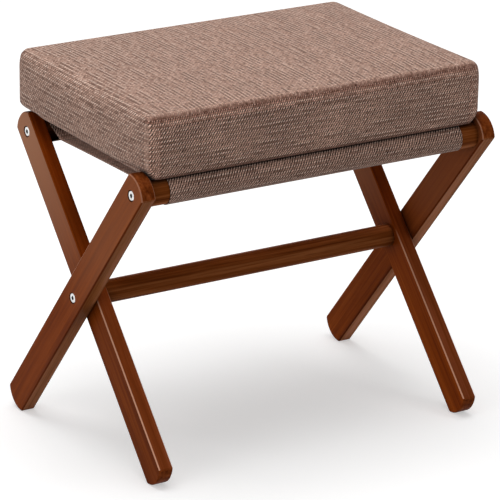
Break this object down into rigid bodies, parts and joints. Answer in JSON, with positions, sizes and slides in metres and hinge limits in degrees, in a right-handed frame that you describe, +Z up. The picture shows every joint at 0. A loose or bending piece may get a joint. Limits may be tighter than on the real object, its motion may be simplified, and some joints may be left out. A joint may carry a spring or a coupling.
{
  "type": "folding footstool",
  "caption": "Folding footstool with crossed round-ended hardwood legs on a stretcher pivot, a cloth sling sewn round its rails and a loose box cushion that lies on top.",
  "frame": {"origin": "on the floor, midway between the feet in X and Y", "axes": "+Z up, +X along the rails, -Y towards the front, where the outer legs have their tops"},
  "size_m": [0.484, 0.3366, 0.4569],
  "materials": {
    "wood": "satin varnish, mahogany stain",
    "dowel_wood": "bare beech",
    "bolt_steel": "bright zinc",
    "insert_steel": "zinc",
    "washer_nylon": "plain nylon",
    "sling_cloth": "coarse linen weave",
    "cushion_cloth": "coarse linen weave",
    "foam": "open-cell foam"
  },
  "bodies": {
    "outer_frame": {"outer_leg_left": "wood", "outer_leg_right": "wood", "front_rail": "wood", "front_rail_bolts": "bolt_steel", "front_rail_inserts": "insert_steel", "front_rail_dowels": "dowel_wood", "sling_front_sleeve": "sling_cloth", "sling_panel": "sling_cloth"},
    "inner_frame": {"inner_leg_left": "wood", "inner_leg_right": "wood", "back_rail": "wood", "back_rail_bolts": "bolt_steel", "back_rail_inserts": "insert_steel", "back_rail_dowels": "dowel_wood", "stretcher": "wood", "stretcher_inserts": "insert_steel", "stretcher_dowels": "dowel_wood", "pivot_bolts": "bolt_steel", "pivot_washers": "washer_nylon", "sling_back_sleeve": "sling_cloth"},
    "cushion": {"cushion_cover": "cushion_cloth", "cushion_foam": "foam"}
  },
  "joints": [
    {"name": "fold", "type": "hinge", "parent": "outer_frame", "child": "inner_frame", "pos_m": [0, 0, 0.18962], "axis": [1, 0, 0], "range_deg": [0, 70], "deforming": ["sling_panel"]},
    {"name": "cushion_lift", "type": "slide", "parent": "outer_frame", "child": "cushion", "axis": [0, 0, 1], "range_m": [0, 0.2]}
  ],
  "couplings": [
    {"joint": "cushion_lift", "follows": "fold", "m_per_rad": 0.16}
  ]
}
